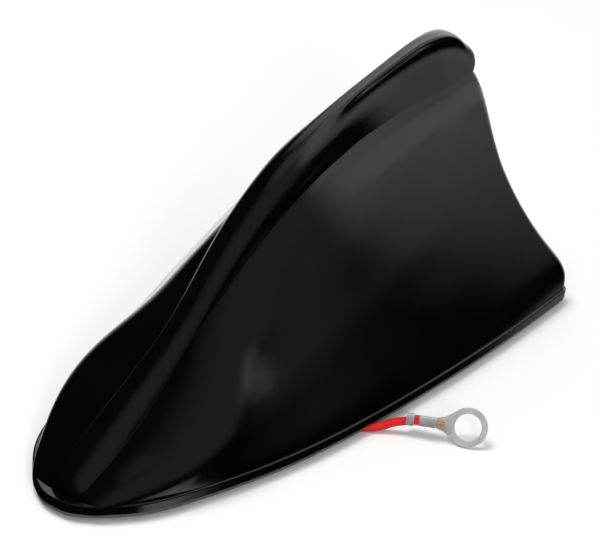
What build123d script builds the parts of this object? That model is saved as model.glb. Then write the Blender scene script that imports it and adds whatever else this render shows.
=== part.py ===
"""Shark fin aerial for a car roof: a gloss moulded fin on a sealed, adhesive-backed frame.

Frame of the model: +X points to the nose, +Y to the left flank, +Z up. The origin lies on the
ground under the middle of the fin, and the fin stands on its four adhesive foam pads.
"""
from build123d import *
import os
from math import cos, pi, radians, sin, sqrt, tan

os.makedirs("parts", exist_ok=True)

# Fin, in millimetres
length = 165.6
width = 74.8
height = 71.6
wall = 2.2
plan_power = 2.38

# Rim, and the seal under it
seal_drop = 1.2
seal_thickness = 1.0
seal_width = 2.0
seal_inset = 0.3
rim_height = 2.2
rim_ledge = 0.8
rim_edge = 0.35
rim_corner = 3.0
skirt_height = 1.0
tail_skirt = 3.0

# Ridge along the spine: its radius at the nose, at its waist and at the tip, with their places as
# shares of the length, and the depth of its sides in radii
ridge_nose_radius = 6.0
ridge_waist_radius = 3.9
ridge_tip_radius = 7.2
ridge_nose = 0.052
ridge_waist = 0.26
ridge_full = 0.84
ridge_depth = 2.0

# Base frame, its opening, screws and pads
pad_thickness = 2.4
frame_thickness = 2.0
frame_clearance = 0.3
frame_front = 0.085
opening_length = 92.0
opening_width = 38.0
opening_centre = -3.0
lip_height = 3.0
lip_width = 1.4
boss_radius = 3.0
pilot_radius = 1.25
pilot_depth = 4.0
screw_clearance = 0.05
screw_head_radius = 2.5
screw_head_height = 1.5
screw_length = 5.4
pad_margin = 1.6

# Aerial board and its coil
board_thickness = 1.6
board_bottom = 31.0
board_top = 50.0
board_step = 6.0
board_clearance = 0.1
lug_length = 7.0
lug_width = 5.6
lug_bottom = 44.0
coil_wire = 1.2
coil_turns = 8
coil_core_radius = 2.2
coil_flange_size = 8.0
coil_flange = 1.0
coil_height = 38.0
solder_radius = 2.3

# Lead and ring terminal
lead_diameter = 2.0
lead_gap = 0.5
ring_outer_radius = 4.65
ring_hole_radius = 3.2
terminal_plate = 0.8
terminal_tilt = 60.0
terminal_heading = 113.0
terminal_rise = 4.0
crimp_wall = 0.45
crimp_clearance = 0.03
strand_radius = 0.25
strand_gap = 0.01

# Heights and places that follow from these
rim_bottom = seal_drop + seal_thickness
rim_top = rim_bottom + rim_height
frame_top = pad_thickness + frame_thickness
frame_inset = rim_ledge + wall + frame_clearance
nose_x = length / 2
sky = 2 * height

# Flanks: share of length, crown height as a share of the height, half width of the crown, and
# the two powers that make a section full and domed over the nose and straight at the tail
flank_shape = [
    (-0.030, 0.020, 3.0, 2.60, 2.00),
    (0.050, 0.116, 3.2, 2.60, 2.00),
    (0.105, 0.178, 3.2, 2.50, 2.00),
    (0.165, 0.260, 3.0, 2.30, 2.00),
    (0.230, 0.372, 3.0, 1.70, 1.85),
    (0.300, 0.490, 3.2, 1.20, 1.50),
    (0.350, 0.585, 3.4, 1.10, 1.32),
    (0.420, 0.688, 3.7, 1.10, 1.20),
    (0.520, 0.783, 4.2, 1.12, 1.15),
    (0.670, 0.850, 5.0, 1.08, 1.08),
    (0.850, 0.885, 5.8, 1.03, 1.00),
    (1.030, 0.910, 5.8, 1.00, 1.00),
]
flank_top = 0.855
flank_sections = 10
# Length over which the front of a plan is rounded, under the ridge
crown_round = 9.0
# Share of the wall by which the hollow stays wider at the crown
crown_keep = 0.25
# Shares of a plan's length at which its side is set, close together round the nose, and the
# share of the curve that the turn of the nose takes
side_steps = [0.012, 0.05, 0.13, 0.27, 0.48, 0.74, 1.0]
nose_pace = 0.04

# Trailing face in side view: share of height, share of length, radius of its corners
trailing_shape = [
    (-0.20, 1.000, 3.0),
    (0.060, 1.000, 3.0),
    (0.120, 1.004, 3.0),
    (0.180, 0.990, 2.6),
    (0.290, 0.957, 2.3),
    (0.420, 0.931, 2.3),
    (0.560, 0.919, 2.8),
    (0.700, 0.917, 3.8),
    (0.800, 0.918, 5.0),
    (0.900, 0.912, 6.0),
]
smallest_corner = 0.4
# Largest corner as a share of the half width that it turns
corner_limit = 0.85

# Crest of the ridge: share of length, share of height
crest_shape = [
    (0.030, 0.124),
    (0.060, 0.167),
    (0.103, 0.226),
    (0.194, 0.352),
    (0.235, 0.415),
    (0.280, 0.508),
    (0.325, 0.612),
    (0.365, 0.697),
    (0.405, 0.757),
    (0.461, 0.825),
    (0.519, 0.877),
    (0.579, 0.917),
    (0.640, 0.946),
    (0.704, 0.968),
    (0.770, 0.988),
    (0.820, 0.998),
    (0.850, 0.989),
    (0.880, 0.962),
    (0.905, 0.927),
]
crest_sections = 14


def along(share):
    """X of a place given as a share of the length, from the nose to the tail."""
    return nose_x - share * length


def faired(rows, share, column):
    """Value of a column between its rows, on a smooth curve through them."""
    low = 0
    while low < len(rows) - 2 and rows[low + 1][0] <= share:
        low += 1
    slopes = []
    for index in (low, low + 1):
        before = rows[max(0, index - 1)]
        after = rows[min(len(rows) - 1, index + 1)]
        slopes.append((after[column] - before[column]) / (after[0] - before[0]))
    span = rows[low + 1][0] - rows[low][0]
    t = (share - rows[low][0]) / span
    start = rows[low][column] * (2 * t**3 - 3 * t**2 + 1) + slopes[0] * span * (t**3 - 2 * t**2 + t)
    end = rows[low + 1][column] * (3 * t**2 - 2 * t**3) + slopes[1] * span * (t**3 - t**2)
    return start + end


def rim_half(share):
    """Half width of the rim at a share of the length."""
    return width / 2 * sqrt(1 - (1 - min(1.0, max(0.0, share))) ** plan_power)


def flank_half(share, level, front, inset):
    """Half width of the fin at a share of the length and a height, in a plan that starts at front.

    A plan that is to be drawn in has so much more width at the crown, which keeps it open there.
    """
    crown = faired(flank_shape, share, 1) * height
    skirt = min(rim_top + skirt_height + tail_skirt * share**2, crown - 0.01)
    climb = min(1.0, max(0.0, (level - skirt) / (crown - skirt)))
    reach = (1 - climb ** faired(flank_shape, share, 3)) ** (1 / faired(flank_shape, share, 4))
    turn = 1 - min(1.0, max(0.0, (share - front) * length / crown_round))
    top = (faired(flank_shape, share, 2) + crown_keep * inset) * sqrt(1 - turn**2)
    foot = rim_half(share)
    return min(foot, foot * reach + top * (1 - reach))


def fin_plan(half, front, back, inset, corner):
    """Plan between two shares of the length, drawn in square to itself, with round tail corners."""
    nudge = 0.0005
    radius = min(max(corner - inset, smallest_corner), corner_limit * (half(back) - inset))

    def lean(share):
        return (half(share + nudge) - half(share - nudge)) / (2 * nudge * length)

    def inward(share):
        return Vector(-lean(share), -1).normalized()

    slope = lean(back - (inset + radius) / length)
    side_end = back - (inset + radius) * (1 + slope / sqrt(1 + slope**2)) / length
    side = []
    for step in side_steps:
        share = front + (side_end - front) * step
        side.append(Vector(along(share), half(share)) + inward(share) * inset)
    centre = side[-1] + inward(side_end) * radius
    bend = (Vector(-1, 0) - inward(side_end)).normalized()
    corner_points = [side[-1], centre + bend * radius, centre + Vector(-radius, 0)]
    far_side = [Vector(point.X, -point.Y) for point in side]
    far_corner = [Vector(point.X, -point.Y) for point in corner_points]
    paces = [nose_pace + (1 - nose_pace) * step for step in side_steps]
    turn_of_nose = Edge.make_spline(
        [*reversed(far_side), Vector(along(front) - inset, 0), *side],
        tangents=[Vector(1, lean(side_end)), Vector(-1, lean(side_end))],
        parameters=[*[-pace for pace in reversed(paces)], 0, *paces],
    )
    with BuildSketch() as plan:
        with BuildLine():
            add(turn_of_nose)
            ThreePointArc(*corner_points)
            Line(corner_points[-1], far_corner[-1])
            ThreePointArc(*reversed(far_corner))
        make_face()
    return plan.sketch


def outline(inset):
    """Plan of the rim, drawn in by a distance."""
    return fin_plan(rim_half, 0, 1, inset, rim_corner)


def fin_body(inset):
    """Fin without its ridge: plans at even heights, lofted from the ground to the crown."""
    top = flank_top * height - inset
    with BuildPart() as body:
        for index in range(flank_sections + 1):
            level = top * index / flank_sections
            outer = level + inset * level / top
            front = 0.0
            while faired(flank_shape, front, 1) * height < outer:
                front += 0.0005
            back = faired(trailing_shape, outer / height, 1)
            corner = faired(trailing_shape, outer / height, 2)

            def half(share):
                return flank_half(share, outer, front, inset)

            plan = fin_plan(half, front, back, rim_ledge + inset, corner)
            with BuildSketch(Plane.XY.offset(level)):
                add(plan)
        loft()
    return body.part


def ridge_radius(share):
    """Radius of the ridge: round nose end, slim waist, fuller crest towards the tip."""
    if share < ridge_waist:
        part = min(1.0, (ridge_waist - share) / (ridge_waist - ridge_nose))
        return ridge_waist_radius + (ridge_nose_radius - ridge_waist_radius) * part
    part = min(1.0, (share - ridge_waist) / (ridge_full - ridge_waist))
    return ridge_waist_radius + (ridge_tip_radius - ridge_waist_radius) * part


def ridge_tube(inset):
    """Rounded ridge on the spine: sections square to the crest, round above and straight below."""
    first = crest_shape[0][0]
    last = crest_shape[-1][0]
    nudge = 0.002
    rows = []
    for index in range(crest_sections + 1):
        share = first + (last - first) * index / crest_sections
        level = faired(crest_shape, share, 1) * height
        climb = faired(crest_shape, share + nudge, 1) - faired(crest_shape, share - nudge, 1)
        way = Vector(-2 * nudge * length, 0, climb * height).normalized()
        lift = Vector(way.Z, 0, -way.X)
        radius = ridge_radius(share)
        rows.append((Vector(along(share), 0, level) - lift * radius, way, radius - inset))
    nose_centre, nose_way, nose_radius = rows[0]
    tip_centre, tip_way, tip_radius = rows[-1]
    ends = [(Plane(origin=tip_centre, x_dir=(0, 1, 0), z_dir=tip_way), tip_radius)]
    if inset == 0:
        ends.append((Plane(origin=nose_centre, x_dir=(0, -1, 0), z_dir=-nose_way), nose_radius))
    with BuildPart() as tube:
        for centre, way, radius in rows:
            with BuildSketch(Plane(origin=centre, x_dir=(0, 1, 0), z_dir=way)):
                Circle(radius)
                Rectangle(2 * radius, ridge_depth * radius, align=(Align.CENTER, Align.MIN))
        loft()
        for plane, radius in ends:
            with BuildSketch(plane):
                Circle(radius)
                Rectangle(2 * radius, ridge_depth * radius, align=(Align.CENTER, Align.MIN))
                far_half = (radius, 2 * (1 + ridge_depth) * radius)
                Rectangle(*far_half, align=(Align.MAX, Align.CENTER), mode=Mode.SUBTRACT)
            revolve(axis=Axis(plane.origin, -plane.y_dir), revolution_arc=180)
    return tube.part


def fin_form(inset):
    """Whole fin with its ridge, drawn in by a distance."""
    with BuildPart() as form:
        add(fin_body(inset))
        add(ridge_tube(inset))
    return form.part


# Places of the screws, as shares of the length with distances from the middle, and of the lugs
front_screws, side_screws, rear_screws = (0.24, 17.0), (0.55, 25.0), (0.92, 25.0)
screw_rows = [front_screws, side_screws, rear_screws]
screw_places = [(along(share), out * side) for share, out in screw_rows for side in (1, -1)]
lug_places = [(along(share), 0) for share in (0.60, 0.80)]

# Hollow of the cover: it leaves the screw bosses and the slotted lugs of the board standing
with BuildPart() as hollow:
    add(fin_form(wall))
    with BuildSketch(Plane.XY.offset(frame_top)):
        with Locations(*screw_places):
            Circle(boss_radius)
    extrude(amount=height, mode=Mode.SUBTRACT)
    with BuildSketch(Plane.XY.offset(lug_bottom)):
        with Locations(*lug_places):
            Rectangle(lug_length, lug_width)
    extrude(amount=height, mode=Mode.SUBTRACT)
    with BuildSketch(Plane.XY.offset(frame_top)):
        with Locations(*screw_places):
            Circle(pilot_radius)
    extrude(amount=pilot_depth)
    with BuildSketch(Plane.XY.offset(lug_bottom)):
        with Locations(*lug_places):
            Rectangle(lug_length, board_thickness + 2 * board_clearance)
    extrude(amount=board_top + board_clearance - lug_bottom)

# Rim band: stands a little proud of the fin, with a rounded upper edge
with BuildPart() as rim_band:
    with BuildSketch(Plane.XY.offset(rim_bottom)):
        add(outline(0))
    extrude(amount=rim_height)
    fillet(rim_band.edges().group_by(Axis.Z)[-1], rim_edge)

# Cover: one gloss black moulding with its rim band, open below
with BuildPart() as cover:
    add(fin_form(0))
    with BuildSketch(Plane.XY.offset(rim_bottom)):
        Rectangle(2 * length, 2 * width)
    extrude(amount=-sky, mode=Mode.SUBTRACT)
    add(rim_band.part)
    add(hollow.part, mode=Mode.SUBTRACT)
cover.part.label = "cover"
export_step(cover.part, "parts/cover.step")

# Ring terminal: where it lies beside the fin, leaning on the edge of its eye
ring_x = -6.96
ring_y = 52.02
floor_gap = 0.05
heading = radians(terminal_heading)
rise = radians(terminal_rise)
tilt = radians(terminal_tilt)
terminal_way = Vector(cos(heading) * cos(rise), sin(heading) * cos(rise), sin(rise))
terminal_side = Vector(sin(heading), -cos(heading), 0)
terminal_up = terminal_side.cross(terminal_way)
terminal_face = terminal_up * cos(tilt) + terminal_side * sin(tilt)
ring_drop = ring_outer_radius * sqrt(1 - terminal_face.Z**2) + terminal_plate / 2 * terminal_face.Z
ring_centre = Vector(ring_x, ring_y, ring_drop + floor_gap)
terminal_plane = Plane(origin=ring_centre, x_dir=terminal_way, z_dir=terminal_face)

# Stations along the terminal, measured from the middle of the eye back towards the fin
bend_station = -16.5
grip_start = -14.4
grip_end = -12.6
lead_end = -11.4
crimp_start = -11.2
crimp_end = -7.4
strand_end = -5.3
tongue_half = 1.2
neck_half = 1.9
neck_angle = radians(125.0)
wire_lift = terminal_plate / 2 + lead_diameter / 2
strand_pitch = 2 * strand_radius + strand_gap
bundle_radius = strand_pitch + strand_radius


def wire_point(station):
    """Point on the axis of the wire at a station of the terminal."""
    return terminal_plane.from_local_coords((station, 0, wire_lift))


def wire_section(station):
    """Plane square to the wire at a station of the terminal."""
    return Plane(origin=wire_point(station), x_dir=terminal_face, z_dir=terminal_way)


# Lead: soldered to the board, through the opening, under the rim and out to the terminal
lead_route = [
    Vector(15.3, 1.9, 33.0),
    Vector(15.3, 1.9, 25.6),
    Vector(17.2, 3.8, 17.6),
    Vector(18.4, 6.6, 9.4),
    Vector(18.2, 10.8, 3.2),
    Vector(16.4, 16.2, 1.02),
    Vector(13.4, 22.4, 1.02),
    Vector(9.0, 28.4, 1.02),
    Vector(4.0, 34.2, 1.02),
    wire_point(bend_station),
    wire_point(lead_end),
]
pass_start, pass_end = lead_route[7:9]
lead_radii = []
for before, corner, after in zip(lead_route, lead_route[1:], lead_route[2:]):
    turn = radians((corner - before).get_angle(after - corner))
    shorter = min((corner - before).length, (after - corner).length)
    lead_radii.append(0.45 * shorter / tan(turn / 2))
print("lead radii", [round(radius, 1) for radius in lead_radii])
with BuildPart() as lead:
    with BuildLine():
        lead_line = FilletPolyline(*lead_route, radius=lead_radii)
    with BuildSketch(Plane(origin=lead_route[0], z_dir=lead_route[1] - lead_route[0])):
        Circle(lead_diameter / 2)
    sweep()
lead.part.label = "lead"
export_step(lead.part, "parts/lead.step")
lead_volume = pi * (lead_diameter / 2) ** 2 * lead_line.length
print("lead length", lead_line.length, "volume", lead.part.volume, "of", lead_volume)
print("lead route", [tuple(round(value, 2) for value in point) for point in lead_route])

# Terminal: tinned strip with an eye, curled round the insulation and round the strands
with BuildPart() as ring_terminal:
    with BuildSketch(terminal_plane.offset(-terminal_plate / 2)):
        Circle(ring_outer_radius)
        with BuildLine():
            upper = [
                (grip_start, tongue_half),
                (crimp_end, tongue_half),
                (strand_end, neck_half),
                (ring_outer_radius * cos(neck_angle), ring_outer_radius * sin(neck_angle)),
            ]
            Polyline(*upper, *[(x, -y) for x, y in reversed(upper)], close=True)
        make_face()
        Circle(ring_hole_radius, mode=Mode.SUBTRACT)
    extrude(amount=terminal_plate)
    with BuildSketch(wire_section(grip_start)):
        Circle(lead_diameter / 2 + crimp_clearance + crimp_wall)
    extrude(amount=grip_end - grip_start)
    with BuildSketch(wire_section(crimp_start)):
        Circle(bundle_radius + crimp_clearance + crimp_wall)
    extrude(amount=crimp_end - crimp_start)
    with BuildSketch(wire_section(grip_start)):
        Circle(lead_diameter / 2 + crimp_clearance)
    extrude(amount=lead_end - grip_start, mode=Mode.SUBTRACT)
    with BuildSketch(wire_section(crimp_start)):
        Circle(bundle_radius + crimp_clearance)
    extrude(amount=strand_end - crimp_start, mode=Mode.SUBTRACT)
ring_terminal.part.label = "ring_terminal"
export_step(ring_terminal.part, "parts/ring_terminal.step")

# Strands: seven bare copper wires, from the end of the insulation through the crimp
with BuildPart() as wire_strands:
    with BuildSketch(wire_section(lead_end)):
        Circle(strand_radius)
        with PolarLocations(strand_pitch, 6):
            Circle(strand_radius)
    extrude(amount=strand_end - lead_end)
wire_strands.part.label = "wire_strands"
export_step(wire_strands.part, "parts/wire_strands.step")

# Seal: a rubber strip under the rim, open where the lead passes
with BuildPart() as rim_seal:
    with BuildSketch(Plane.XY.offset(seal_drop)):
        add(outline(seal_inset))
        add(outline(seal_inset + seal_width), mode=Mode.SUBTRACT)
    extrude(amount=seal_thickness)
    pass_way = pass_end - pass_start
    with BuildSketch(Plane(origin=pass_end, x_dir=pass_way, z_dir=(0, 0, 1))):
        Rectangle(4 * pass_way.length, lead_diameter + 2 * lead_gap)
    extrude(amount=sky, both=True, mode=Mode.SUBTRACT)
rim_seal.part.label = "rim_seal"
export_step(rim_seal.part, "parts/rim_seal.step")

# Base frame: a flat moulding in the mouth of the cover, with a slot-shaped opening and a lip
with BuildPart() as base_frame:
    with BuildSketch(Plane.XY.offset(pad_thickness)):
        add(outline(frame_inset))
        with Locations((along(frame_front), 0)):
            Rectangle(length, 2 * width, align=(Align.MIN, Align.CENTER), mode=Mode.SUBTRACT)
    extrude(amount=frame_thickness)
    with BuildSketch(Plane.XY.offset(frame_top)):
        with Locations((opening_centre, 0)):
            SlotOverall(opening_length + 2 * lip_width, opening_width + 2 * lip_width)
    extrude(amount=lip_height)
    with BuildSketch(Plane.XY.offset(pad_thickness)):
        with Locations((opening_centre, 0)):
            SlotOverall(opening_length, opening_width)
        with Locations(*screw_places):
            Circle(pilot_radius)
    extrude(amount=frame_thickness + lip_height, mode=Mode.SUBTRACT)
base_frame.part.label = "base_frame"
export_step(base_frame.part, "parts/base_frame.step")

# Screws: six pan heads under the frame, driven up into the bosses
with BuildPart() as frame_screws:
    with BuildSketch(Plane.XY.offset(pad_thickness)):
        with Locations(*screw_places):
            Circle(screw_head_radius)
    extrude(amount=-screw_head_height)
    with BuildSketch(Plane.XY.offset(pad_thickness)):
        with Locations(*screw_places):
            Circle(pilot_radius - screw_clearance)
    extrude(amount=screw_length)
    chamfer(frame_screws.edges().group_by(Axis.Z)[0], screw_head_height / 4)
frame_screws.part.label = "frame_screws"
export_step(frame_screws.part, "parts/frame_screws.step")

# Foam pads with adhesive, under the frame: front and rear, and one on each side of the opening.
# Each lies between two cross lines and two side lines, clear of the screws and the opening.
pad_plan = outline(frame_inset + pad_margin)
screw_room = screw_head_radius + pad_margin
opening_rear = opening_centre - opening_length / 2
side_pad_inner = opening_width / 2 + pad_margin
side_pad_front = along(side_screws[0]) - screw_room
rear_pad_half = rear_screws[1] - screw_room
pad_lines = {
    "pad_front": (along(front_screws[0]) + screw_room, along(frame_front) - pad_margin, -width, width),
    "pad_left": (opening_rear, side_pad_front, side_pad_inner, width),
    "pad_right": (opening_rear, side_pad_front, -width, -side_pad_inner),
    "pad_rear": (-length, opening_rear - pad_margin, -rear_pad_half, rear_pad_half),
}
for name, (rear, front, right, left) in pad_lines.items():
    with BuildPart() as pad:
        with BuildSketch():
            add(pad_plan)
            with Locations(((rear + front) / 2, (right + left) / 2)):
                Rectangle(front - rear, left - right, mode=Mode.INTERSECT)
        extrude(amount=pad_thickness)
    pad.part.label = name
    export_step(pad.part, f"parts/{name}.step")

# Aerial board: stands on the middle plane, its top edge in the lugs, its front under the ridge
board_front = along(0.385)
board_rear = along(0.85)
with BuildPart() as aerial_board:
    with BuildSketch(Plane.XZ):
        with BuildLine():
            Polyline(
                (board_front, board_bottom),
                (board_rear, board_bottom),
                (board_rear, board_top),
                (along(0.56), board_top),
                (along(0.488), board_top - board_step),
                (board_front, board_bottom + board_step),
                close=True,
            )
        make_face()
    extrude(amount=board_thickness / 2, both=True)
aerial_board.part.label = "aerial_board"
export_step(aerial_board.part, "parts/aerial_board.step")

# Coil: a spool on the face of the board, wound with enamelled wire in one layer
coil_length = coil_turns * coil_wire
coil_y = board_thickness / 2 + coil_flange_size / 2
coil_plane = Plane(origin=(along(0.62), coil_y, coil_height), x_dir=(0, 1, 0), z_dir=(-1, 0, 0))
with BuildPart() as coil_former:
    for start in (0, coil_flange + coil_length):
        with BuildSketch(coil_plane.offset(start)):
            RectangleRounded(coil_flange_size, coil_flange_size, coil_flange)
        extrude(amount=coil_flange)
    with BuildSketch(coil_plane):
        Circle(coil_core_radius)
    extrude(amount=coil_length + coil_flange)
coil_former.part.label = "coil_former"
export_step(coil_former.part, "parts/coil_former.step")

# Winding: its turns side by side, each a ridge between two valleys
winding_start = coil_flange
winding_end = coil_flange + coil_length
winding_valley = coil_core_radius + coil_wire / 2
winding_crown = coil_core_radius + coil_wire
winding_edge = [(winding_start, coil_core_radius), (winding_start, winding_valley)]
for turn_index in range(coil_turns):
    turn_start = winding_start + turn_index * coil_wire
    winding_edge.append((turn_start + coil_wire / 2, winding_crown))
    winding_edge.append((turn_start + coil_wire, winding_valley))
winding_edge.append((winding_end, coil_core_radius))
with BuildPart() as coil_winding:
    with BuildSketch(Plane(origin=coil_plane.origin, x_dir=(-1, 0, 0), z_dir=(0, -1, 0))):
        with BuildLine():
            Polyline(*winding_edge, close=True)
        make_face()
    revolve(axis=Axis(coil_plane.origin, (1, 0, 0)))
coil_winding.part.label = "coil_winding"
export_step(coil_winding.part, "parts/coil_winding.step")

# Solder joint: a dome on the board over the end of the lead
solder_place = (lead_route[0].X, board_thickness / 2, lead_route[0].Z)
with BuildPart() as solder_joint:
    with Locations(solder_place):
        Sphere(solder_radius)
    split(bisect_by=Plane.XY.offset(solder_place[2]), keep=Keep.TOP)
    split(bisect_by=Plane.XZ.offset(-solder_place[1]), keep=Keep.BOTTOM)
solder_joint.part.label = "solder_joint"
export_step(solder_joint.part, "parts/solder_joint.step")
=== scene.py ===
from math import cos, radians

import bpy
from mathutils import Matrix, Vector


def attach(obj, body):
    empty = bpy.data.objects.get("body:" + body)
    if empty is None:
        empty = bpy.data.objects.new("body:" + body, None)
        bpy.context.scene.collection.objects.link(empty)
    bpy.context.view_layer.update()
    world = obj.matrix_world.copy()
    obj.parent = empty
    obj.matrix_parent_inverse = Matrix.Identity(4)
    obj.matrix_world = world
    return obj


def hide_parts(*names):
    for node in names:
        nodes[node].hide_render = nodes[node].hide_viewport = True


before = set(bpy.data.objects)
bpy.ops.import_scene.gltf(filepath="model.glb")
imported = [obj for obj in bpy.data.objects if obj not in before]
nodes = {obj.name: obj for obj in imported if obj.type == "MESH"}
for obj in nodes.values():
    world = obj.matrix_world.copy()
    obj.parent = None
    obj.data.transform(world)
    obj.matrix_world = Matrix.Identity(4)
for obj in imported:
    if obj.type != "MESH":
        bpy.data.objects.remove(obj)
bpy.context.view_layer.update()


# Cover: the fin itself, moulded in one shot from gloss black plastic with its ridge and rim band.
# It comes off a polished tool, so it is deep black and mirror smooth, with the faint orange peel
# of the moulding. Six screws from below hold it to the base frame.
class Shade:
    """One output of a material's nodes. Sums, products and comparisons of it add Math nodes."""

    def __init__(self, tree, socket):
        self.tree = tree
        self.socket = socket

    def node(self, kind, settings=None, sockets=None, out=0):
        """Adds a node: its settings first, then the values or links of its sockets."""
        made = self.tree.nodes.new(kind)
        for name, value in (settings or {}).items():
            if name == "stops":
                ramp = made.color_ramp.elements
                while len(ramp) < len(value):
                    ramp.new(0.5)
                for stop, (place, colour) in zip(ramp, value):
                    stop.position = place
                    stop.color = (*colour, 1)
            else:
                setattr(made, name, value)
        for name, value in (sockets or {}).items():
            if isinstance(value, Shade):
                self.tree.links.new(value.socket, made.inputs[name])
            else:
                made.inputs[name].default_value = value
        return Shade(self.tree, made.outputs[out])

    def math(self, operation, first, second):
        return self.node("ShaderNodeMath", {"operation": operation}, {0: first, 1: second})

    def __add__(self, other):
        return self.math("ADD", self, other)

    __radd__ = __add__

    def __mul__(self, other):
        return self.math("MULTIPLY", self, other)

    __rmul__ = __mul__

    def __sub__(self, other):
        return self.math("SUBTRACT", self, other)

    def __rsub__(self, other):
        return self.math("SUBTRACT", other, self)

    def __gt__(self, other):
        return self.math("GREATER_THAN", self, other)

    def __lt__(self, other):
        return self.math("LESS_THAN", self, other)

    def along(self, way):
        """How far this place lies in a direction."""
        sockets = {0: self, 1: way}
        return self.node("ShaderNodeVectorMath", {"operation": "DOT_PRODUCT"}, sockets, "Value")

    def noise(self, scale, detail=2.0, roughness=0.5):
        """Cloudy value from 0 to 1 with blobs of about 1 / scale metres."""
        sockets = {"Vector": self, "Scale": scale, "Detail": detail, "Roughness": roughness}
        return self.node("ShaderNodeTexNoise", {}, sockets, "Fac")

    def colours(self, *stops):
        """Colour read from this value along a ramp of (value, colour) stops."""
        return self.node("ShaderNodeValToRGB", {"stops": stops}, {"Fac": self}, "Color")

    def bump(self, strength, distance):
        """Surface normal from this value taken as a height, in metres at the full value."""
        sockets = {"Height": self, "Strength": strength, "Distance": distance}
        return self.node("ShaderNodeBump", {}, sockets, "Normal")


def finish(name, **constants):
    """New material: the place on the piece as a Shade, and a way to feed the shader's sockets."""
    material = bpy.data.materials.new(name)
    material.use_nodes = True
    tree = material.node_tree
    shader = tree.nodes["Principled BSDF"]
    for socket, value in constants.items():
        shader.inputs[socket.replace("_", " ")].default_value = value
    place = tree.nodes.new("ShaderNodeTexCoord")

    def feed(**links):
        for socket, value in links.items():
            tree.links.new(value.socket, shader.inputs[socket.replace("_", " ")])

    return material, Shade(tree, place.outputs["Object"]), feed


def dress(name, material):
    """Gives a CAD node a material."""
    node = nodes[name]
    node.data.materials.clear()
    node.data.materials.append(material)


gloss_black, place, feed = finish("gloss_black", Coat_Weight=0.35, Coat_Roughness=0.04)
cloud = place.noise(60, 3)
peel = place.noise(900, 1)
feed(
    Base_Color=cloud.colours((0.35, (0.0012, 0.0012, 0.0013)), (0.7, (0.0022, 0.0022, 0.0024))),
    Roughness=0.10 + 0.05 * place.noise(140, 4),
    Normal=peel.bump(0.06, 0.00002),
)

# The ridge of the real moulding runs out into the flanks towards the tip, so the cover's own mesh is
# copied, merged and eased in there: what stands out beyond the line of the flank is pressed back.
# Shares of the length run from 0 at the nose to 1 at the tail.
fin_nose = 0.0828
fin_length = 0.1656
tip_share = 0.9
longest_from_tip = 0.4
foot_height = 0.0600
foot_drop = 0.042
foot_half_front = 0.0034
foot_half_gain = 0.0033
foot_front_share = 0.26
foot_share_run = 0.58
flank_lean = 0.567
lean_gain = 1.8


def smooth_step(low, high, value):
    """Rises smoothly from 0 at low to 1 at high."""
    t = min(1.0, max(0.0, (value - low) / (high - low)))
    return t * t * (3 - 2 * t)


def beyond_flank(point):
    """Where a point lies: its share of the length, its height above the foot of the ridge, half the
    width there, and how far it stands out beyond the line of the flank, drawn on above the foot.
    """
    share = (fin_nose - point.x) / fin_length
    from_tip = min(longest_from_tip, tip_share - share)
    above_foot = point.z - foot_height + foot_drop * from_tip**2
    foot_half = foot_half_front + foot_half_gain * min(1.0, (share - foot_front_share) / foot_share_run)
    lean = flank_lean + lean_gain * from_tip**2
    return share, above_foot, foot_half, abs(point.y) - foot_half + lean * above_foot


press_most = 0.95
press_shares = (0.45, 0.75)
press_heights = (-0.007, -0.002)
notch_shares = (0.82, 0.91)
notch_rise = (0.036, 0.058)
notch_fall = (0.062, 0.070)
notch_fill = 0.0031
tip_hold = 0.0021
tip_hold_shares = (0.912, 0.927)


def eased(point, depth):
    """Where a point of the cover goes: the sides of the ridge sink into the flanks near the tip,
    and the notch below the end of the ridge is filled.

    A point on the inside of the wall goes to its own line, which lies deeper.
    """
    share, above_foot, foot_half, excess = beyond_flank(point)
    press = press_most * smooth_step(*press_shares, share) * smooth_step(*press_heights, above_foot)
    half = abs(point.y)
    half -= press * max(0.0, excess + depth) * smooth_step(0, foot_half - depth, half)
    rise = smooth_step(*notch_rise, point.z) * (1 - smooth_step(*notch_fall, point.z))
    fill = notch_fill - tip_hold * smooth_step(*tip_hold_shares, share)
    back = smooth_step(*notch_shares, share) * rise * fill
    return Vector((point.x - back, half if point.y > 0 else -half, point.z))


eased_share = 0.42
eased_below = 0.008
eased_within = 0.0015


def near_tip(point):
    """Whether a point is on the outside of the ridge or close to it, where the cover is eased."""
    share, above_foot, foot_half, excess = beyond_flank(point)
    return share > eased_share and above_foot > -eased_below and excess > -eased_within


# The copy, with its doubles merged: each face has three points and the moulding's normal at each.
# A point whose normal looks towards the middle of the tip is taken to be on the inside of the wall.
merge_steps = 1e7
tip_middle = Vector((-0.040, 0, 0.050))
wall_depth = 0.0024
cover_mesh = nodes["cover"].data
cover_normals = [corner.vector.copy() for corner in cover_mesh.corner_normals]
merged = {}
points = []
depths = []
faces = []
for face in cover_mesh.polygons:
    row = []
    for vertex, corner in zip(face.vertices, face.loop_indices):
        spot = cover_mesh.vertices[vertex].co
        key = tuple(round(value * merge_steps) for value in spot)
        if key not in merged:
            merged[key] = len(points)
            points.append(spot.copy())
            inside = cover_normals[corner].dot(spot - tip_middle) < 0
            depths.append(wall_depth if inside else 0.0)
        row.append(merged[key])
    if len(set(row)) == 3:
        faces.append((row, [cover_normals[corner] for corner in face.loop_indices]))

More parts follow.
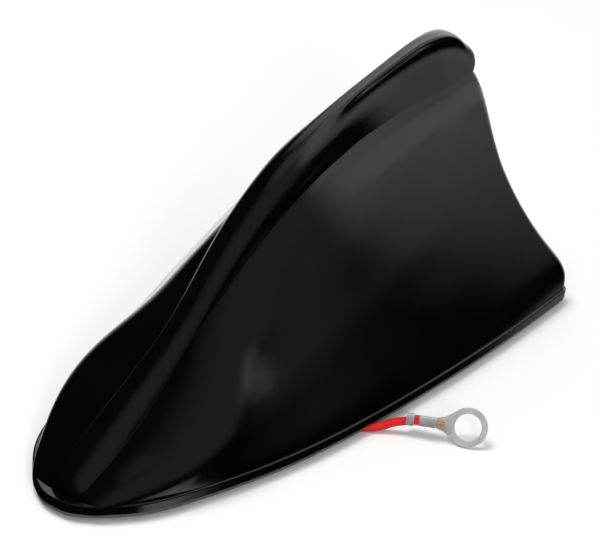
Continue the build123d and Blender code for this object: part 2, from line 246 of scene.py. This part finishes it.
# Edges near the tip that are longer than this are halved, so that the eased shape is even
longest_edge = 0.001
halvings = 4
for halving in range(halvings):
    middles = {}
    finer = []
    for row, ways in faces:
        cut = []
        for first, second in ((0, 1), (1, 2), (2, 0)):
            edge = tuple(sorted((row[first], row[second])))
            if edge not in middles:
                one, two = points[edge[0]], points[edge[1]]
                long = (one - two).length > longest_edge and near_tip(one) and near_tip(two)
                middles[edge] = len(points) if long else None
                if long:
                    points.append((one + two) / 2)
                    depths.append(depths[edge[0]])
            cut.append(middles[edge])
        ring = []
        for corner in range(3):
            ring.append((row[corner], ways[corner]))
            if cut[corner] is not None:
                ring.append((cut[corner], (ways[corner] + ways[corner - 2]).normalized()))
        if len(ring) == 6:
            picks = ((0, 1, 5), (1, 2, 3), (3, 4, 5), (1, 3, 5))
        elif len(ring) == 5:
            whole = next(corner for corner in range(3) if cut[corner] is None)
            turn = ring.index((row[whole], ways[whole]))
            ring = ring[turn:] + ring[:turn]
            picks = ((0, 1, 4), (1, 2, 4), (2, 3, 4))
        elif len(ring) == 4:
            split = next(corner for corner in range(3) if cut[corner] is not None)
            turn = split + 1
            ring = ring[turn:] + ring[:turn]
            picks = ((0, 1, 2), (0, 2, 3))
        else:
            picks = ((0, 1, 2),)
        for pick in picks:
            finer.append(([ring[i][0] for i in pick], [ring[i][1] for i in pick]))
    faces = finer

# The normals turn with the surface: each is worked out from two points beside its own
nudge = 0.00005
normals = []
for row, ways in faces:
    for vertex, way in zip(row, ways):
        spot = points[vertex]
        across = way.orthogonal().normalized()
        along = way.cross(across)
        depth = depths[vertex]
        here = eased(spot, depth)
        there = eased(spot + nudge * across, depth) - here
        turned = there.cross(eased(spot + nudge * along, depth) - here)
        normals.append(turned.normalized())
fin_mesh = bpy.data.meshes.new("fin_cover")
fin_mesh.from_pydata(list(map(eased, points, depths)), [], [row for row, ways in faces])
fin_mesh.polygons.foreach_set("use_smooth", [True] * len(faces))
fin_mesh.normals_split_custom_set(normals)
fin_mesh.materials.append(gloss_black)
fin_cover = bpy.data.objects.new("fin_cover", fin_mesh)
bpy.context.scene.collection.objects.link(fin_cover)
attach(fin_cover, "root")
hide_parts("cover")


# Rim seal: a strip of grey closed-cell rubber under the rim, cut open where the lead passes.
# It is pressed between the rim and the car's roof, so it is matt and a little uneven.
grey_rubber, place, feed = finish("grey_rubber", Specular_IOR_Level=0.35)
skin = place.noise(2200, 3)
stain = place.noise(90, 3)
feed(
    Base_Color=stain.colours((0.3, (0.065, 0.065, 0.067)), (0.7, (0.10, 0.10, 0.102))),
    Roughness=0.55 + 0.2 * skin,
    Normal=skin.bump(0.4, 0.00005),
)
dress("rim_seal", grey_rubber)


# Base frame: the flat black moulding that closes the fin from below, with a spark-eroded grain.
# Its slot-shaped opening has a stiffening lip, and six screws hold it to the bosses of the cover.
frame_plastic, place, feed = finish("frame_plastic")
grain = place.noise(3200, 4, 0.65)
feed(
    Base_Color=grain.colours((0.3, (0.010, 0.010, 0.011)), (0.75, (0.022, 0.022, 0.023))),
    Roughness=0.45 + 0.25 * grain,
    Normal=grain.bump(0.5, 0.00006),
)
dress("base_frame", frame_plastic)


# Frame screws: six zinc-plated pan heads, driven up into the bosses of the cover.
# The plating is thin and bluish, with turning marks from the heading machine.
screw_steel, place, feed = finish("screw_steel", Metallic=1.0)
turning = place.noise(5200, 2)
feed(
    Base_Color=place.noise(700, 3).colours((0.3, (0.42, 0.43, 0.46)), (0.7, (0.62, 0.63, 0.66))),
    Roughness=0.24 + 0.2 * turning,
    Normal=turning.bump(0.25, 0.00003),
)
dress("frame_screws", screw_steel)


# Pads: four pieces of black closed-cell foam with adhesive, which stick the aerial to the roof.
# Foam has open pores on its cut edges and a dull skin.
pad_foam, place, feed = finish("pad_foam", Specular_IOR_Level=0.2)
# Painted shade: the colour is darker at the middle of each pore, in the hollow that the bump sinks.
pores_and_shade = place.node("ShaderNodeTexVoronoi", {}, {"Vector": place, "Scale": 1900.0}, "Distance")
feed(
    Base_Color=pores_and_shade.colours((0.1, (0.006, 0.006, 0.006)), (0.55, (0.028, 0.028, 0.029))),
    Roughness=0.75 + 0.2 * pores_and_shade,
    Normal=pores_and_shade.bump(0.6, 0.0002),
)
for pad in ("pad_front", "pad_left", "pad_right", "pad_rear"):
    dress(pad, pad_foam)


# Aerial board: glass-fibre laminate with green lacquer, standing in the slotted lugs of the roof.
# The weave of the glass shows faintly through the lacquer, and copper runs along its edges.
board_laminate, place, feed = finish("board_laminate", Coat_Weight=0.3)
weave = place.node("ShaderNodeTexChecker", {}, {"Vector": place, "Scale": 1700.0}, "Fac")
track_pitch = 0.003
track_edge = 0.0024
height = place.node("ShaderNodeSeparateXYZ", {}, {"Vector": place}, "Z")
run = place.math("PINGPONG", height, track_pitch) > track_edge
lacquer = place.noise(260, 3).colours((0.3, (0.008, 0.055, 0.022)), (0.7, (0.013, 0.085, 0.034)))
track = place.noise(500, 2).colours((0.3, (0.02, 0.14, 0.05)), (0.7, (0.03, 0.19, 0.07)))
feed(
    Base_Color=place.node(
        "ShaderNodeMix", {"data_type": "RGBA"}, {"Factor": run, 6: lacquer, 7: track}, 2
    ),
    Roughness=0.28 + 0.1 * weave,
    Normal=(0.6 * run + 0.2 * weave).bump(0.4, 0.00004),
)
dress("aerial_board", board_laminate)


# Coil: a moulded natural-nylon spool glued to the board, wound with one layer of enamelled copper.
# The enamel gives the wire its amber gloss.
former_plastic, place, feed = finish("former_plastic", Subsurface_Weight=0.1)
haze = place.noise(800, 3)
feed(
    Base_Color=haze.colours((0.3, (0.58, 0.55, 0.47)), (0.7, (0.70, 0.67, 0.58))),
    Roughness=0.4 + 0.15 * haze,
    Normal=haze.bump(0.2, 0.00004),
)
dress("coil_former", former_plastic)
coil_copper, place, feed = finish("coil_copper", Metallic=0.85, Coat_Weight=0.7)
enamel = place.noise(1500, 3)
feed(
    Base_Color=enamel.colours((0.3, (0.48, 0.17, 0.06)), (0.7, (0.66, 0.27, 0.10))),
    Roughness=0.22 + 0.12 * enamel,
    Normal=enamel.bump(0.15, 0.00003),
)
dress("coil_winding", coil_copper)


# Solder joint: the small dome of tin that holds the lead to the board.
# It cooled from the hand iron, so it is bright with a frosty patch.
solder, place, feed = finish("solder", Metallic=1.0)
frost = place.noise(1300, 4)
feed(
    Base_Color=frost.colours((0.3, (0.56, 0.56, 0.57)), (0.7, (0.74, 0.74, 0.74))),
    Roughness=0.18 + 0.3 * frost,
    Normal=frost.bump(0.25, 0.00005),
)
dress("solder_joint", solder)


# Lead: a thin wire in soft red plastic, soldered to the board. It runs down through the opening,
# out under the rim and up a little to its crimped ring terminal.
lead_radius = 0.001
lead_route = [
    (0.0153, 0.0019, 0.0330),
    (0.0153, 0.0019, 0.0256),
    (0.0172, 0.0038, 0.0176),
    (0.0184, 0.0066, 0.0094),
    (0.0182, 0.0108, 0.0032),
    (0.0164, 0.0162, 0.00102),
    (0.0134, 0.0224, 0.00102),
    (0.0090, 0.0284, 0.00102),
    (0.0040, 0.0342, 0.00102),
    (0.0009, 0.0376, 0.0033),
    (-0.00138, 0.04198, 0.00418),
]
lead_curve = bpy.data.curves.new("lead_wire", "CURVE")
lead_curve.dimensions = "3D"
lead_curve.bevel_depth = lead_radius
lead_curve.bevel_resolution = 6
lead_curve.resolution_u = 12
lead_curve.use_fill_caps = True
wire_line = lead_curve.splines.new("NURBS")
wire_line.points.add(len(lead_route) - 1)
for point, position in zip(wire_line.points, lead_route):
    point.co = (*position, 1)
wire_line.order_u = 3
wire_line.use_endpoint_u = True
lead_wire = bpy.data.objects.new("lead_wire", lead_curve)
bpy.context.scene.collection.objects.link(lead_wire)
red_insulation, place, feed = finish("red_insulation", Coat_Weight=0.15)
mottle = place.noise(500, 3)
scuff = place.noise(2600, 4)
feed(
    Base_Color=mottle.colours((0.3, (0.58, 0.006, 0.010)), (0.7, (0.74, 0.012, 0.016))),
    Roughness=0.3 + 0.15 * scuff,
    Normal=scuff.bump(0.15, 0.00003),
)
lead_curve.materials.append(red_insulation)
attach(lead_wire, "root")
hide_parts("lead")


# Strands: the wire's seven bare copper strands, which stick out of the crimp towards the eye.
# They are held by the crimp alone and are a little tarnished.
bare_copper, place, feed = finish("bare_copper", Metallic=0.5)
tarnish = place.noise(1800, 3)
feed(
    Base_Color=tarnish.colours((0.3, (0.66, 0.30, 0.18)), (0.7, (0.88, 0.52, 0.36))),
    Roughness=0.28 + 0.2 * tarnish,
    Normal=tarnish.bump(0.2, 0.00003),
)
dress("wire_strands", bare_copper)


# Ring terminal: stamped from tinned strip, with an eye for a stud, crimped on the wire and on
# its insulation. The tin is dull and silvery, with rolling marks, and smoother where it is crimped.
terminal_way = (-0.3898, 0.9183, 0.0698)
barrel_end = 0.0434
tinned_metal, place, feed = finish("tinned_metal")
barrel = place.along(terminal_way) < barrel_end
cloud = place.noise(420, 4)
roll = place.noise(3600, 3)
feed(
    Base_Color=cloud.colours((0.3, (0.54, 0.54, 0.54)), (0.7, (0.70, 0.70, 0.695))),
    Metallic=0.4 + 0.2 * barrel,
    Roughness=0.30 + 0.18 * roll - 0.05 * barrel,
    Normal=roll.bump(0.15, 0.00002),
)
dress("ring_terminal", tinned_metal)

# The gloss of the fin shows no image of the lead, so the lead's pieces are hidden from reflections
for piece in (lead_wire, nodes["wire_strands"], nodes["ring_terminal"]):
    piece.visible_glossy = False


# Stage: a plain white floor, and a dark surround that only reflections see, as gloss black things
# are photographed. Soft panels of light on it give the fin its pale edges and its grey upper flank.
floor_size = 8.0
bpy.ops.object.select_all(action="DESELECT")
bpy.ops.mesh.primitive_plane_add(size=floor_size)
floor = bpy.context.object
floor.name = "floor"
paper, place, feed = finish("floor_paper", Roughness=0.9, Specular_IOR_Level=0.0)
feed(Base_Color=place.noise(3).colours((0.3, (0.90, 0.90, 0.90)), (0.7, (0.91, 0.91, 0.91))))
floor.data.materials.append(paper)
floor.visible_glossy = False

surround_radius = 2.0
bpy.ops.object.select_all(action="DESELECT")
bpy.ops.mesh.primitive_uv_sphere_add(segments=64, ring_count=32, radius=surround_radius)
surround = bpy.context.object
surround.name = "surround"
surround_cloth, place, feed = finish("surround_cloth", Specular_IOR_Level=0.0, Emission_Strength=1.0)
way_out = place.node("ShaderNodeVectorMath", {"operation": "NORMALIZE"}, {0: place}, "Vector")


def panel(heading, climb, core, edge, level):
    """Light of a soft round panel: its direction, the radii of its core and edge, all in degrees."""
    turn = Matrix.Rotation(radians(heading), 3, "Z") @ Matrix.Rotation(radians(-climb), 3, "Y")
    near = way_out.along(turn @ Vector((1, 0, 0)))
    fade = {"Value": near, "From Min": cos(radians(edge)), "From Max": cos(radians(core))}
    return level * near.node("ShaderNodeMapRange", {"interpolation_type": "SMOOTHSTEP"}, fade)


side_panel = panel(162, 37, 26, 41, 0.7)
flank_panel = panel(80, 42, 15, 60, 0.18)
back_panel = panel(197, -8, 22, 52, 1.0)
crest_panel = panel(-145, 46, 5, 24, 0.9)
roof_panel = panel(180, 75, 5, 25, 0.3)
rim_panel = panel(92, -34, 6, 15, 0.9)
cloth = place.noise(4).colours((0.3, (0.001, 0.001, 0.001)), (0.7, (0.002, 0.002, 0.002)))
panels = side_panel + flank_panel + back_panel + crest_panel + roof_panel + rim_panel
feed(Base_Color=cloth, Emission_Color=panels)
surround.data.materials.append(surround_cloth)
surround.visible_camera = False
surround.visible_diffuse = False
surround.visible_shadow = False
surround.visible_transmission = False

# World: white where the picture or glass sees it, and a plain soft level elsewhere. It is white for
# reflections as well, but they meet the surround first.
soft_level = 0.55
world = bpy.data.worlds.new("studio")
bpy.context.scene.world = world
world.use_nodes = True
sky_tree = world.node_tree
background = sky_tree.nodes["Background"]
path = sky_tree.nodes.new("ShaderNodeLightPath")
seen = Shade(sky_tree, path.outputs["Is Camera Ray"])
seen = seen + Shade(sky_tree, path.outputs["Is Glossy Ray"])
seen = seen + Shade(sky_tree, path.outputs["Is Transmission Ray"])
seen = seen.node("ShaderNodeClamp", {}, {"Value": seen})
level = soft_level + (1 - soft_level) * seen
sky_tree.links.new(level.socket, background.inputs["Strength"])
background.inputs["Color"].default_value = (1, 1, 1, 1)


fin_middle = Vector((0, 0, 0.03))


def lamp(name, place, size, power):
    """Soft square lamp that points at the fin."""
    light = bpy.data.lights.new(name, "AREA")
    light.size = size
    light.energy = power
    stand = bpy.data.objects.new(name, light)
    stand.location = place
    aim = fin_middle - Vector(place)
    stand.rotation_euler = aim.to_track_quat("-Z", "Y").to_euler()
    stand.visible_glossy = False
    bpy.context.scene.collection.objects.link(stand)


lamp("top_light", (0.2, -0.3, 1.1), 0.5, 8)
lamp("front_light", (0.9, 0.9, 0.7), 0.3, 5)

# Camera: a long lens from the front left, looking down at 30 degrees
eye = Vector((0.48408, 0.28495, 0.3512))
right = Vector((-0.5554, 0.8228, 0.1205))
up = Vector((-0.3592, -0.3681, 0.8576))
sensor = 36.0
focal_pixels = 2751.5
photo_width = 600
lens = bpy.data.cameras.new("camera")
lens.sensor_width = sensor
lens.lens = focal_pixels / photo_width * sensor
camera = bpy.data.objects.new("camera", lens)
back = right.cross(up)
camera.matrix_world = Matrix.Translation(eye) @ Matrix((right, up, back)).transposed().to_4x4()
bpy.context.scene.collection.objects.link(camera)
bpy.context.scene.camera = camera
bpy.context.scene.view_settings.view_transform = "Standard"
